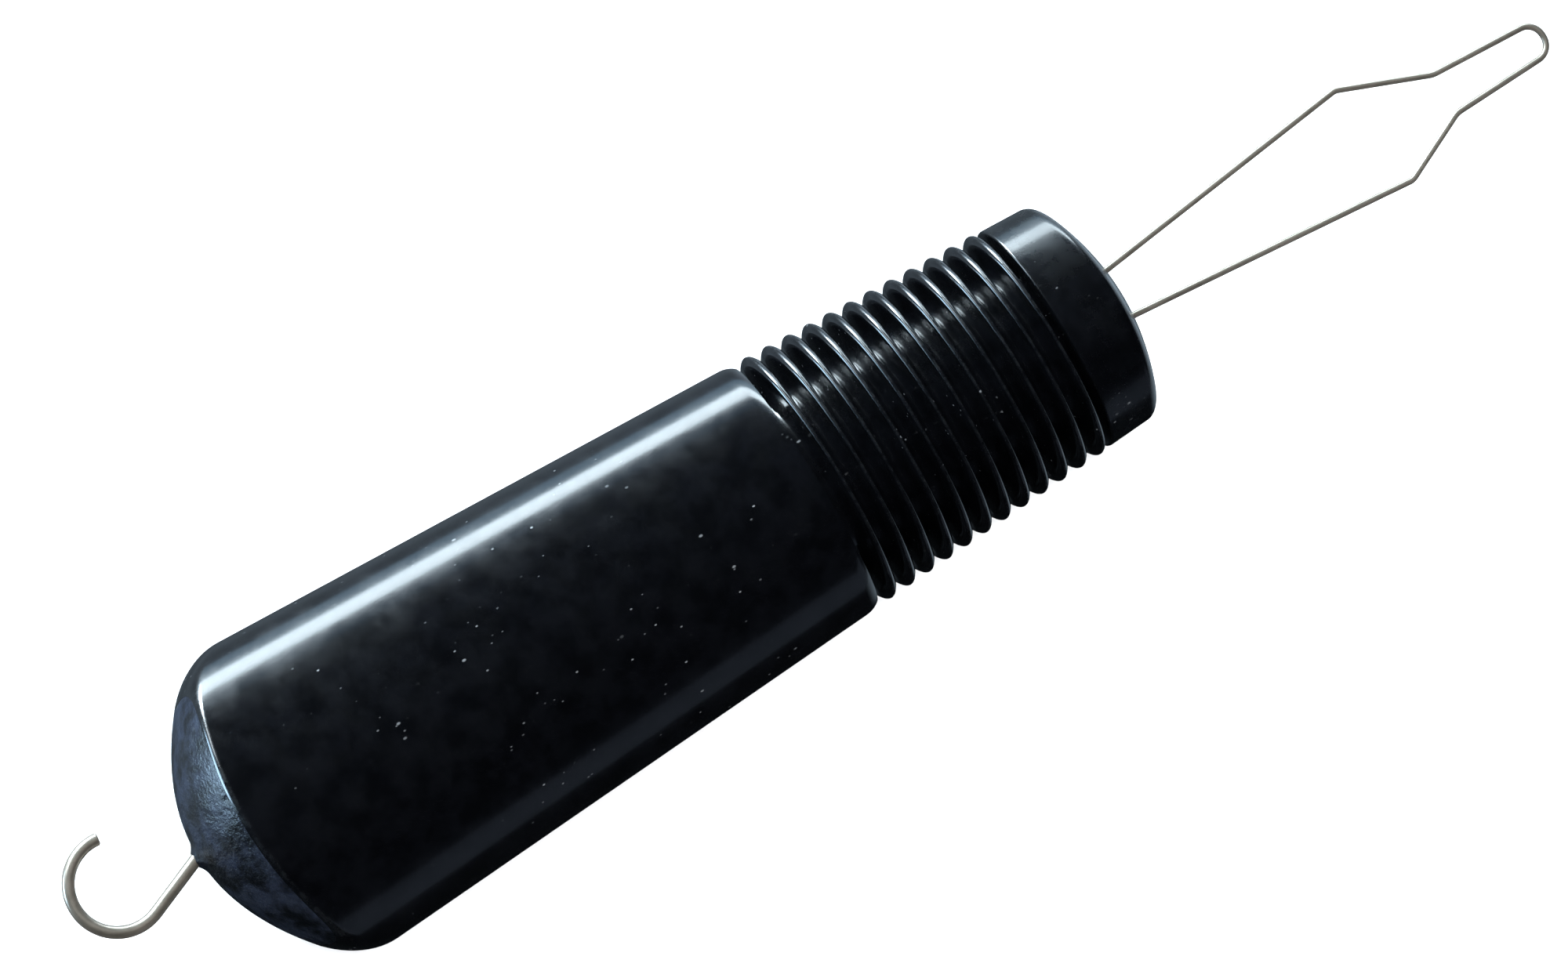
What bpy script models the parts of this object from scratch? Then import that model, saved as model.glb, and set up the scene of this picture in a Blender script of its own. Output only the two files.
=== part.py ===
"""Button hook and zip pull: a fat ribbed grip with a wire button loop at one end and a zip hook at the other.

The grip is a soft sleeve over two rigid core halves, which clamp both wires between them. A neck collar
closes the loop end and a butt cap closes the hook end. +X runs from the zip hook to the button loop, +Z is
up, and the grip lies on its belly on Z = 0. Every section of the grip is an ellipse whose middle rises
towards the butt, so that the belly stays level while the grip tapers.
"""

from math import acos, atan2, cos, hypot, pi, radians, sin, sqrt, tan

import bmesh
import bpy
from mathutils import Vector

MM = 0.001

# Envelope of the grip. Half sizes are at x = 0, and a taper is their change per metre towards +X.
GRIP_HALF_WIDTH = 15.6 * MM
GRIP_WIDTH_TAPER = -0.047
GRIP_HALF_DEPTH = 10.24 * MM
GRIP_DEPTH_TAPER = -0.018
BELLY_FLAT_ANGLE = radians(11.25)  # half of the arc that the flat on the belly replaces

# Domed ends, parabolic, with their radii at the apex: the plan radius curves each dome across the grip,
# the profile radius from belly to back. The edge round the butt is crisp on the back and soft at the sides.
BUTT_APEX_X = -83.6 * MM
BUTT_PLAN_RADIUS = 18.2 * MM
BUTT_PROFILE_RADIUS = 13.4 * MM
BUTT_EDGE_ROUNDING = 0.4 * MM
BUTT_SIDE_ROUNDING = 4.0 * MM
BUTT_SIDE_SPREAD = 10  # the higher, the nearer to the sides the edge stays crisp
NECK_APEX_X = 38.2 * MM
NECK_PLAN_RADIUS = 26.5 * MM
NECK_PROFILE_RADIUS = 18.0 * MM
NECK_EDGE_ROUNDING = 1.0 * MM

# Ribs of the soft sleeve.
RIB_COUNT = 12
RIB_PITCH = 2.668 * MM
RIBS_START_X = -3.75 * MM
RIB_DEPTH = 1.5 * MM  # of the wave of the crests, above the slits
SLIT_SIDE_DEPTH = 3.0 * MM
SLIT_BACK_DEPTH = 1.0 * MM
SLIT_SIDE_HALF_WIDTH = 0.3 * MM
SLIT_BACK_HALF_WIDTH = 1.0 * MM
SLIT_EDGE = 0.12 * MM
SLIT_SAG = 0.15 * MM  # of the floor, from its edges to its middle
RIB_SIDE_SHARPNESS = 0.6  # 1 is a plain wave, and above it the crests are narrower than the grooves
RIB_BACK_SHARPNESS = 1.5
RIB_SIDE_SPREAD = 3
SHOULDER_LENGTH = 2.2 * MM
RIBS_END_X = RIBS_START_X + RIB_COUNT * RIB_PITCH

# Sleeve, cap, collar and core, as depths below the envelope.
SLEEVE_WALL = 5.2 * MM
LIP_WIDTH = 0.6 * MM  # of the sleeve's end face, inside its rounded edge
SEAT_STEP = 0.2 * MM  # least step between the cap's seat and the bore
SEAT_LENGTH = 4.0 * MM
GAP = 0.3 * MM
RIM_GAP = 0.5 * MM
COLLAR_INSET = 0.15 * MM
COLLAR_BEVEL = 0.35 * MM
SPIGOT_LENGTH = 3.5 * MM
CORE_END_X = -64.6 * MM
CORE_START_X = RIBS_END_X + GAP - SPIGOT_LENGTH - GAP

# Nipple where the hook's wire leaves the butt.
NIPPLE_ROOT_RADIUS = 1.8 * MM
NIPPLE_TIP_RADIUS = 1.25 * MM
NIPPLE_HEIGHT = 0.6 * MM

# Button loop: bends of the wire in plan, each as x, y and bend radius.
LOOP_WIRE_RADIUS = 0.39 * MM
LOOP_BENDS = (
    (7.5 * MM, -6.2 * MM, 0.0),
    (7.5 * MM, -2.42 * MM, 1.2 * MM),
    (33.4 * MM, -2.42 * MM, 8.0 * MM),
    (75.7 * MM, -6.46 * MM, 1.5 * MM),
    (84.5 * MM, -2.56 * MM, 3.0 * MM),
    (98.35 * MM, -2.2 * MM, 2.0 * MM),
    (98.35 * MM, 1.82 * MM, 2.0 * MM),
    (84.4 * MM, 2.64 * MM, 3.0 * MM),
    (73.25 * MM, 6.95 * MM, 1.5 * MM),
    (33.4 * MM, 2.42 * MM, 8.0 * MM),
    (7.5 * MM, 2.42 * MM, 1.2 * MM),
    (7.5 * MM, 6.2 * MM, 0.0),
)

# Zip hook: its shank leaves the butt as a tangent of the round hook.
HOOK_WIRE_RADIUS = 0.73 * MM
HOOK_RADIUS = 5.28 * MM
HOOK_CENTRE = (-92.63 * MM, 2.14 * MM)
HOOK_SWEEP = radians(210)
HOOK_ROOT = (-84.0 * MM, -0.12 * MM)
HOOK_INNER_BENDS = (
    (-80.1 * MM, 1.45 * MM, 3.0 * MM),
    (-52.0 * MM, 1.45 * MM, 1.5 * MM),
    (-52.0 * MM, -3.0 * MM, 0.0),
)
WIRE_CLEARANCE = 0.3 * MM

# Fineness of the mesh.
SECTION_SIDES = 48
EDGE_STEPS = 4
BARREL_STEPS = 4
ARC_STEP = radians(12)
WIRE_RESOLUTION = 2
WELD_DISTANCE = 0.002 * MM

SECTION_ANGLES = [(i + 0.5) * 2 * pi / SECTION_SIDES - pi / 2 for i in range(SECTION_SIDES)]


def clear_scene():
    for old in list(bpy.data.objects):
        bpy.data.objects.remove(old)


def make_material(name, colour, roughness, metallic=0.0):
    material = bpy.data.materials.new(name)
    material.use_nodes = True
    shader = material.node_tree.nodes["Principled BSDF"]
    shader.inputs["Base Color"].default_value = (*colour, 1.0)
    shader.inputs["Roughness"].default_value = roughness
    shader.inputs["Metallic"].default_value = metallic
    return material


def add_object(name, bm, material=None):
    """An object from bm, shaded smooth but for its sharp edges. One without a material is a cutter."""
    bmesh.ops.remove_doubles(bm, verts=bm.verts, dist=WELD_DISTANCE)
    bmesh.ops.recalc_face_normals(bm, faces=bm.faces)
    mesh = bpy.data.meshes.new(name)
    bm.to_mesh(mesh)
    bm.free()
    mesh.shade_smooth()
    mesh.set_sharp_from_angle(angle=radians(40))
    piece = bpy.data.objects.new(name, mesh)
    bpy.context.scene.collection.objects.link(piece)
    if material:
        mesh.materials.append(material)
    else:
        piece.hide_render = True
        piece.display_type = "WIRE"
    return piece


def add_boolean(piece, other, operation):
    modifier = piece.modifiers.new(f"{operation.title()} {other.name}", "BOOLEAN")
    modifier.operation = operation
    modifier.object = other


# Envelope


def half_width(x):
    return GRIP_HALF_WIDTH + GRIP_WIDTH_TAPER * x


def half_depth(x):
    return GRIP_HALF_DEPTH + GRIP_DEPTH_TAPER * x


def middle_height(x):
    """Height of the section's middle, where both wires lie."""
    return half_depth(x) * cos(BELLY_FLAT_ANGLE)


def section_point(x, angle, inset=0.0):
    """Point of the section at x, inset below the envelope, with z measured from the section's middle."""
    y = (half_width(x) - inset) * cos(angle)
    z = (half_depth(x) - inset) * max(sin(angle), -cos(BELLY_FLAT_ANGLE))
    return Vector((x, y, z))


def fall(distance, radius):
    """How far a dome falls back from its apex at this distance."""
    return distance**2 / (2 * radius)


def butt_wall_x(y, z):
    return BUTT_APEX_X + fall(y, BUTT_PLAN_RADIUS) + fall(z, BUTT_PROFILE_RADIUS)


def neck_wall_x(y, z):
    return NECK_APEX_X - fall(y, NECK_PLAN_RADIUS) - fall(z, NECK_PROFILE_RADIUS)


def butt_rounding(angle):
    at_side = abs(cos(angle)) ** BUTT_SIDE_SPREAD
    return BUTT_EDGE_ROUNDING + (BUTT_SIDE_ROUNDING - BUTT_EDGE_ROUNDING) * at_side


def corner_point(wall_x, angle, inset=0.0):
    """Point where the envelope meets a domed end."""
    point = section_point(wall_x(0.0, 0.0), angle, inset)
    for _ in range(12):
        point = section_point(wall_x(point.y, point.z), angle, inset)
    return point


def dome_point(wall_x, corner, setback):
    """Point of a domed end, this far inwards from its corner."""
    share = max(0.0, 1 - setback / hypot(corner.y, corner.z))
    y = corner.y * share
    z = corner.z * share
    return Vector((wall_x(y, z), y, z))


def rounded_edge(before, corner, after):
    points = []
    for step in range(EDGE_STEPS + 1):
        t = step / EDGE_STEPS
        points.append(before * (1 - t) ** 2 + corner * 2 * t * (1 - t) + after * t**2)
    return points


def raised(points):
    """The points with their z counted from Z = 0 and not from the section's middle."""
    return [Vector((p.x, p.y, p.z + middle_height(p.x))) for p in points]


def solid_from_meridians(name, meridian, material, through_bore=False):
    """A closed body from one line of points for each angle round the section."""
    bm = bmesh.new()
    columns = [[bm.verts.new(p) for p in raised(meridian(angle))] for angle in SECTION_ANGLES]
    for left, right in zip(columns, columns[1:] + columns[:1]):
        pairs = list(zip(left, right))
        if through_bore:
            pairs.append(pairs[0])
        for (a, b), (c, d) in zip(pairs, pairs[1:]):
            bm.faces.new((a, b, d, c))
    return add_object(name, bm, material)


# Wires


def rounded_route(bends):
    """Plan points along straight runs whose corners are rounded to the radius of each bend."""
    points = [Vector(bends[0][:2])]
    for before, bend, after in zip(bends, bends[1:], bends[2:]):
        corner = Vector(bend[:2])
        back = (Vector(before[:2]) - corner).normalized()
        ahead = (Vector(after[:2]) - corner).normalized()
        half_angle = back.angle(ahead) / 2
        centre = corner + (back + ahead).normalized() * bend[2] / sin(half_angle)
        first = corner + back * bend[2] / tan(half_angle) - centre
        last = corner + ahead * bend[2] / tan(half_angle) - centre
        turn = pi - 2 * half_angle
        steps = max(2, round(turn / ARC_STEP))
        for step in range(steps + 1):
            t = step / steps
            points.append(centre + (first * sin((1 - t) * turn) + last * sin(t * turn)) / sin(turn))
    points.append(Vector(bends[-1][:2]))
    return points


def hook_route():
    """Plan points of the zip hook, from its end to its foot inside the grip."""
    centre = Vector(HOOK_CENTRE)
    root = Vector(HOOK_ROOT)
    from_centre = root - centre
    tangent_angle = atan2(from_centre.y, from_centre.x) - acos(HOOK_RADIUS / from_centre.length)
    steps = round(HOOK_SWEEP / ARC_STEP)
    points = []
    for step in range(steps, -1, -1):
        angle = tangent_angle - HOOK_SWEEP * step / steps
        points.append(centre + HOOK_RADIUS * Vector((cos(angle), sin(angle))))
    start = (*points[-1], 0.0)
    return points + rounded_route((start, *HOOK_INNER_BENDS))[1:]


def add_tube(name, route, radius, material=None):
    """A round wire along a plan route at the middle height of the grip."""
    curve = bpy.data.curves.new(name, "CURVE")
    curve.dimensions = "3D"
    curve.bevel_depth = radius
    curve.bevel_resolution = WIRE_RESOLUTION
    curve.use_fill_caps = True
    spline = curve.splines.new("POLY")
    spline.points.add(len(route) - 1)
    for point, place in zip(spline.points, route):
        point.co = (place.x, place.y, middle_height(place.x), 1.0)
    guide = bpy.data.objects.new(name + "_guide", curve)
    bm = bmesh.new()
    bm.from_mesh(guide.to_mesh())
    bpy.data.objects.remove(guide)
    return add_object(name, bm, material)


# Sub-parts


def slit_half_width(angle):
    return SLIT_SIDE_HALF_WIDTH + (SLIT_BACK_HALF_WIDTH - SLIT_SIDE_HALF_WIDTH) * abs(sin(angle))


def groove_point(x, angle, drop, slit):
    """Point this far below the envelope, and also in the slit where slit is 1."""
    flat = -cos(BELLY_FLAT_ANGLE)
    y = (half_width(x) - drop - slit * SLIT_SIDE_DEPTH) * cos(angle)
    z = (half_depth(x) - drop - slit * SLIT_BACK_DEPTH) * max(sin(angle), flat)
    return Vector((x, y, z))


def rib_points(angle):
    """The ribs, full at the sides and slim on the back, with a slit at each end of each rib."""
    on_back = abs(sin(angle)) ** RIB_SIDE_SPREAD
    sharpness = RIB_SIDE_SHARPNESS + (RIB_BACK_SHARPNESS - RIB_SIDE_SHARPNESS) * on_back
    floor_end = slit_half_width(angle) / RIB_PITCH
    wall_end = floor_end + SLIT_EDGE / RIB_PITCH
    flank = (wall_end + 0.5) / 2
    steps = ((0.0, 1), (floor_end, 1), (wall_end, 0), (flank, 0), (0.5, 0))
    steps += ((1 - flank, 0), (1 - wall_end, 0), (1 - floor_end, 1))
    points = []
    for rib in range(RIB_COUNT):
        for t, slit in steps:
            rise = sin(pi * t) ** (2 * sharpness)
            x = RIBS_START_X + (rib + t) * RIB_PITCH
            sag = SLIT_SAG if t == 0.0 else 0.0
            points.append(groove_point(x, angle, RIB_DEPTH * (1 - rise) + sag, slit))
    points.append(groove_point(RIBS_END_X, angle, RIB_DEPTH + SLIT_SAG, 1))
    return points


def shoulder_points(angle):
    """The rounded end of the barrel, down to the floor of the first slit."""
    slit_start = SHOULDER_LENGTH - slit_half_width(angle)
    wall_top = slit_start - SLIT_EDGE
    points = []
    for run in (wall_top / 2, wall_top):
        drop = RIB_DEPTH * (1 - sqrt(1 - (run / SHOULDER_LENGTH) ** 2))
        points.append(section_point(RIBS_START_X - SHOULDER_LENGTH + run, angle, drop))
    points.append(groove_point(RIBS_START_X - SHOULDER_LENGTH + slit_start, angle, RIB_DEPTH, 1))
    return points


def seat_inset(angle):
    """Depth of the seat that the butt cap fills, below the envelope."""
    return min(butt_rounding(angle) + LIP_WIDTH, SLEEVE_WALL - SEAT_STEP)


def sleeve_meridian(angle):
    corner = corner_point(butt_wall_x, angle)
    rounding = butt_rounding(angle)
    edge_start = section_point(corner.x + rounding, angle)
    points = [dome_point(butt_wall_x, corner, rounding + LIP_WIDTH)]
    points += rounded_edge(dome_point(butt_wall_x, corner, rounding), corner, edge_start)
    shoulder_x = RIBS_START_X - SHOULDER_LENGTH
    for step in range(1, BARREL_STEPS + 1):
        x = edge_start.x + (shoulder_x - edge_start.x) * step / BARREL_STEPS
        points.append(section_point(x, angle))
    points += shoulder_points(angle)
    points += rib_points(angle)
    points.append(section_point(RIBS_END_X, angle, SLEEVE_WALL))
    points.append(section_point(corner.x + SEAT_LENGTH, angle, SLEEVE_WALL))
    points.append(section_point(corner.x + SEAT_LENGTH, angle, seat_inset(angle)))
    return points


def cap_meridian(angle):
    corner = corner_point(butt_wall_x, angle)
    rim = dome_point(butt_wall_x, corner, butt_rounding(angle) + LIP_WIDTH + RIM_GAP)
    reach = hypot(corner.y, corner.z)
    points = [Vector((BUTT_APEX_X, 0.0, 0.0))]
    for share in (0.2, 0.4, 0.6, 0.8):
        points.append(dome_point(butt_wall_x, corner, reach * (1 - share)))
    points.append(rim)
    step_x = corner.x + SEAT_LENGTH - GAP
    plug_x = CORE_END_X - GAP
    points.append(section_point(step_x, angle, seat_inset(angle) + GAP))
    points.append(section_point(step_x, angle, SLEEVE_WALL + GAP))
    points.append(section_point(plug_x, angle, SLEEVE_WALL + GAP))
    points.append(Vector((plug_x, 0.0, 0.0)))
    return points


def collar_meridian(angle):
    corner = corner_point(neck_wall_x, angle, COLLAR_INSET)
    rear_x = RIBS_END_X + GAP
    spigot_x = rear_x - SPIGOT_LENGTH
    before = section_point(corner.x - NECK_EDGE_ROUNDING, angle, COLLAR_INSET)
    after = dome_point(neck_wall_x, corner, NECK_EDGE_ROUNDING)
    reach = hypot(corner.y, corner.z)
    points = [Vector((spigot_x, 0.0, 0.0))]
    points.append(section_point(spigot_x, angle, SLEEVE_WALL + GAP))
    points.append(section_point(rear_x, angle, SLEEVE_WALL + GAP))
    points.append(section_point(rear_x, angle, COLLAR_INSET + COLLAR_BEVEL))
    points.append(section_point(rear_x + COLLAR_BEVEL, angle, COLLAR_INSET))
    points += rounded_edge(before, corner, after)
    for share in (0.66, 0.44, 0.22):
        points.append(dome_point(neck_wall_x, corner, reach * (1 - share)))
    points.append(Vector((NECK_APEX_X, 0.0, 0.0)))
    return points


def add_core_half(name, side, material):
    """One half of the core, above (side 1) or below (side -1) the plane of the wires."""
    bm = bmesh.new()
    rings = []
    inset = SLEEVE_WALL + GAP
    arc = [angle for angle in SECTION_ANGLES if sin(angle) * side > 0]
    for x in (CORE_END_X, (CORE_END_X + CORE_START_X) / 2, CORE_START_X):
        edge = section_point(x, 0.0, inset)
        section = [section_point(x, angle, inset) for angle in arc]
        section.sort(key=lambda point: point.y)
        left = Vector((x, -edge.y, side * GAP / 2))
        right = Vector((x, edge.y, side * GAP / 2))
        rings.append([bm.verts.new(p) for p in raised([left, *section, right])])
    for ring, ahead in zip(rings, rings[1:]):
        for i, vertex in enumerate(ring):
            bm.faces.new((vertex, ring[i - 1], ahead[i - 1], ahead[i]))
    bm.faces.new(rings[0])
    bm.faces.new(rings[-1])
    return add_object(name, bm, material)


def add_nipple():
    root = Vector((HOOK_ROOT[0], HOOK_ROOT[1], middle_height(HOOK_ROOT[0])))
    bm = bmesh.new()
    bmesh.ops.create_cone(
        bm,
        segments=24,
        cap_ends=True,
        radius1=NIPPLE_ROOT_RADIUS,
        radius2=NIPPLE_TIP_RADIUS,
        depth=3 * NIPPLE_HEIGHT,
    )
    nipple = add_object("nipple", bm)
    nipple.location = root + Vector((NIPPLE_HEIGHT / 2, 0.0, 0.0))
    nipple.rotation_euler = (0.0, -pi / 2, 0.0)
    return nipple


def build():
    clear_scene()
    soft_rubber = make_material("Soft black rubber", (0.012, 0.013, 0.015), 0.35)
    cap_rubber = make_material("Cap rubber", (0.02, 0.022, 0.026), 0.5)
    core_plastic = make_material("Core plastic", (0.08, 0.08, 0.085), 0.55)
    steel = make_material("Stainless wire", (0.52, 0.53, 0.54), 0.28, 1.0)

    loop_route = rounded_route(LOOP_BENDS)
    zip_route = hook_route()
    add_tube("button_loop", loop_route, LOOP_WIRE_RADIUS, steel)
    add_tube("zip_hook", zip_route, HOOK_WIRE_RADIUS, steel)
    loop_channel = add_tube("loop_channel", loop_route, LOOP_WIRE_RADIUS + WIRE_CLEARANCE)
    zip_channel = add_tube("zip_channel", zip_route, HOOK_WIRE_RADIUS + WIRE_CLEARANCE)

    solid_from_meridians("grip_sleeve", sleeve_meridian, soft_rubber, through_bore=True)
    cap = solid_from_meridians("butt_cap", cap_meridian, cap_rubber)
    add_boolean(cap, add_nipple(), "UNION")
    add_boolean(cap, zip_channel, "DIFFERENCE")
    collar = solid_from_meridians("neck_collar", collar_meridian, soft_rubber)
    add_boolean(collar, loop_channel, "DIFFERENCE")
    for name, side in (("core_upper", 1), ("core_lower", -1)):
        core = add_core_half(name, side, core_plastic)
        add_boolean(core, loop_channel, "DIFFERENCE")
        add_boolean(core, zip_channel, "DIFFERENCE")


build()
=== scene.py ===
from math import acos, atan2, ceil, cos, exp, hypot, pi, radians, sin, sqrt, tan

import bmesh
import bpy
from mathutils import Matrix, Vector


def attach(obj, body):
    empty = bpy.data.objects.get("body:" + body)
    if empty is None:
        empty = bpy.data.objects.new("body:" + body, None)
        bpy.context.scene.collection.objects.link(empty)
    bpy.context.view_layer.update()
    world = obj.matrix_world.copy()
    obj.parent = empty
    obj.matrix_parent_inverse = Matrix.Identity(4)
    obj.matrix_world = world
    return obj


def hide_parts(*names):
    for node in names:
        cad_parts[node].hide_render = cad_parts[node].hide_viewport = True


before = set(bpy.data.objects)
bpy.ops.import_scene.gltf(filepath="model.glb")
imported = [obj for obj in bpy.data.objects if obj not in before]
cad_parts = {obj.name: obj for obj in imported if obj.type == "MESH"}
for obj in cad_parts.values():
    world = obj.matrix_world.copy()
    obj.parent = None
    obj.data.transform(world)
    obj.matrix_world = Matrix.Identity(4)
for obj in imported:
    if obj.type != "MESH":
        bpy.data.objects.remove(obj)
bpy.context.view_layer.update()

MM = 0.001

# Envelope of the grip: half sizes at x = 0, and their change per metre towards +X.
GRIP_HALF_WIDTH = 15.6 * MM
GRIP_WIDTH_TAPER = -0.047
GRIP_HALF_DEPTH = 10.24 * MM
GRIP_DEPTH_TAPER = -0.018
BELLY_FLAT_ANGLE = radians(11.25)

# Domed ends.
BUTT_APEX_X = -83.6 * MM
BUTT_PLAN_RADIUS = 18.2 * MM
BUTT_PROFILE_RADIUS = 13.4 * MM
BUTT_EDGE_ROUNDING = 0.4 * MM
BUTT_SIDE_ROUNDING = 4.0 * MM
BUTT_SIDE_SPREAD = 10
NECK_APEX_X = 38.2 * MM
NECK_PLAN_RADIUS = 26.5 * MM
NECK_PROFILE_RADIUS = 18.0 * MM
NECK_EDGE_ROUNDING = 1.0 * MM

# Ribs: a wave RIB_DEPTH deep, and in its valleys slits that go down further by the slit depths.
RIB_COUNT = 12
RIB_PITCH = 2.668 * MM
RIBS_START_X = -3.75 * MM
RIB_DEPTH = 1.5 * MM
SLIT_SIDE_DEPTH = 3.0 * MM
SLIT_BACK_DEPTH = 1.0 * MM
SLIT_SIDE_HALF_WIDTH = 0.3 * MM
SLIT_BACK_HALF_WIDTH = 1.0 * MM
SLIT_EDGE = 0.12 * MM
SLIT_SAG = 0.15 * MM
RIB_SIDE_SHARPNESS = 0.6
RIB_BACK_SHARPNESS = 1.5
RIB_SIDE_SPREAD = 3
CREST_WEAR_REACH = 0.09  # share of the pitch
SHOULDER_LENGTH = 2.2 * MM
RIBS_END_X = RIBS_START_X + RIB_COUNT * RIB_PITCH

# Walls, seats and gaps.
SLEEVE_WALL = 5.2 * MM
LIP_WIDTH = 0.08 * MM
LIP_WEAR = 0.3
SEAM = 0.02 * MM
SEAT_DEPTH = 2.2 * MM
SEAT_LENGTH = 4.0 * MM
GAP = 0.3 * MM
COLLAR_INSET = 0.15 * MM
COLLAR_BEVEL = 0.35 * MM
SPIGOT_LENGTH = 3.5 * MM
CORE_END_X = -64.6 * MM

# Button loop: bends of the wire in plan, each as x, y and bend radius.
LOOP_WIRE_RADIUS = 0.39 * MM
LOOP_BENDS = (
    (7.5 * MM, -6.2 * MM, 0.0),
    (7.5 * MM, -2.42 * MM, 1.2 * MM),
    (33.4 * MM, -2.42 * MM, 8.0 * MM),
    (75.7 * MM, -6.46 * MM, 1.5 * MM),
    (84.5 * MM, -2.56 * MM, 3.0 * MM),
    (98.35 * MM, -2.2 * MM, 2.0 * MM),
    (98.35 * MM, 1.82 * MM, 2.0 * MM),
    (84.4 * MM, 2.64 * MM, 3.0 * MM),
    (73.25 * MM, 6.95 * MM, 1.5 * MM),
    (33.4 * MM, 2.42 * MM, 8.0 * MM),
    (7.5 * MM, 2.42 * MM, 1.2 * MM),
    (7.5 * MM, 6.2 * MM, 0.0),
)

# Zip hook: its shank leaves the butt as a tangent of the round hook.
HOOK_WIRE_RADIUS = 0.73 * MM
HOOK_RADIUS = 5.28 * MM
HOOK_CENTRE = (-92.63 * MM, 2.14 * MM)
HOOK_SWEEP = radians(210)
HOOK_ROOT = (-84.0 * MM, -0.12 * MM)
HOOK_INNER_BENDS = (
    (-80.1 * MM, 1.45 * MM, 3.0 * MM),
    (-52.0 * MM, 1.45 * MM, 1.5 * MM),
    (-52.0 * MM, -3.0 * MM, 0.0),
)
CUT_CHAMFER = 0.12 * MM

# The rubber drawn up round each wire.
NIPPLE_RADIUS = 2.4 * MM
NIPPLE_TOP_RADIUS = 0.84 * MM
NIPPLE_HEIGHT = 0.6 * MM
NIPPLE_FLARE = 2.2
WIRE_HUG = 0.03 * MM
HOOK_HOLE_STRETCH = 1.08
HOOK_HOLE_LINING = 3 * MM
HOOK_HOLE_LIP = 0.1 * MM
HOOK_HOLE_LIP_REACH = 0.05 * MM
FLOW_RIDGE_END = (-2.6 * MM, 6.2 * MM)
FLOW_RIDGE_HEIGHT = 0.09 * MM
FLOW_RIDGE_WIDTH = 0.3 * MM
PITTED_WIDTH = 6.0 * MM
LIP_ROUND_LEGS = 0.16 * MM
LEG_LIP_RADIUS = 0.85 * MM
LEG_LIP_FLARE = 1.5

# Fineness.
SECTION_SIDES = 256
CORNER_ROUNDS = 12
FLOOR_STEPS = 3
WALL_STEPS = 3
CREST_STEPS = 6
EDGE_STEPS = 12
BARREL_STEPS = 48
COLLAR_STEPS = 8
NECK_DOME_STEPS = 96
BUTT_DOME_STEPS = 40
NIPPLE_STEP = 0.1 * MM
HOOK_HOLE_STEPS = (0.03 * MM, 0.08 * MM)
ARC_STEP = radians(4)
WIRE_STEP = 0.8 * MM
WIRE_SIDES = 24
SHARP_ANGLE = radians(50)
CUT_SHARP_ANGLE = radians(30)
WELD_DISTANCE = 0.002 * MM
SLIVER_LENGTH = 0.0005 * MM

# Looks: linear RGBA colours, scales of the patterns in cells per metre, and strengths.
GRIP_DARK = (0.0005, 0.0006, 0.0009, 1)
GRIP_LIGHT = (0.0012, 0.0014, 0.0020, 1)
CAP_DARK = (0.0006, 0.0008, 0.0014, 1)
CAP_LIGHT = (0.008, 0.011, 0.020, 1)
RUBBED_COLOUR = (0.05, 0.058, 0.066, 1)
DUST_COLOUR = (0.11, 0.12, 0.13, 1)
# Painted shade: black laid into the cap's moulding pits to darken their hollows.
PIT_SHADE_COLOUR = (0.0, 0.0, 0.0, 1)
STEEL_DARK = (0.16, 0.145, 0.12, 1)
STEEL_LIGHT = (0.34, 0.305, 0.26, 1)
PLASTIC_DARK = (0.055, 0.056, 0.06, 1)
PLASTIC_LIGHT = (0.1, 0.1, 0.105, 1)
FLOOR_DARK = (0.86, 0.865, 0.87, 1)
FLOOR_LIGHT = (0.9, 0.905, 0.91, 1)
WORLD_COLOUR = (0.66, 0.84, 1.0, 1)
CLOUD_SCALE = 320.0
RUBBED_SCALE = 900.0
GLOSS_SCALE = 260.0
GRAIN_SCALE = 2600.0
SWELL_SCALE = 130.0
MOTTLE_SCALE = 650.0
PIT_SCALE = 380.0
FINE_DUST_SCALE = 1500.0
COARSE_DUST_SCALE = 850.0
DUST_PATCH_SCALE = 60.0
WIRE_LINE_SCALES = (60.0, 1400.0, 1400.0)
WIRE_PATCH_SCALES = (500.0, 500.0, 500.0)
RUBBED_TINT = 0.05
RUBBED_ROUGHNESS = 0.12
DUST_ROUGHNESS = 0.3
SLIT_FLOOR_ROUGHNESS = 0.1
COAT_ROUGHNESS = 0.12
VINYL_IOR = 1.47
WIRE_METALLIC = 0.8
SWELL_HEIGHT = 1.2
PIT_DEPTH = 25.0
GRAIN_DEPTH = 0.00002
WIRE_LINE_DEPTH = 0.00001
FAR_SIDE_GLOW = 0.31
BUTT_END_GLOW = 0.24
LOOP_END_GLOW = 0.9
ROOM_GLOW = 0.008

# Softboxes: name, direction from the grip, distance, width and height, radiance and colour.
SOFTBOXES = (
    ("long_softbox", (0.22, 0.965, 0.18), 0.6, (1.1, 0.16), 16.5, (0.78, 0.92, 1.0)),
    ("sky_glow", (0.22, 0.975, -0.05), 0.62, (1.1, 0.24), 1.5, (0.42, 0.72, 1.0)),
    ("sky_edge", (0.22, 0.90, 0.38), 0.62, (1.1, 0.16), 0.5, (0.34, 0.66, 1.0)),
    ("slit_window", (-0.20, 0.96, 0.19), 1.2, (0.46, 0.40), 105.0, (0.76, 0.91, 1.0)),
    ("high_window", (-0.54, 0.69, 0.49), 0.7, (0.20, 0.20), 14.0, (0.80, 0.92, 1.0)),
    ("low_window", (-0.90, 0.42, 0.00), 0.7, (0.34, 0.18), 24.0, (0.50, 0.76, 1.0)),
    ("near_glow", (0.22, -0.96, 0.20), 0.7, (0.8, 0.30), 0.22, (0.6, 0.75, 1.0)),
)
FILL = ("fill", (0.0, 0.0, 1.0), 1.6, (1.8, 1.8), 7.0, (1.0, 1.0, 1.0))

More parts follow.
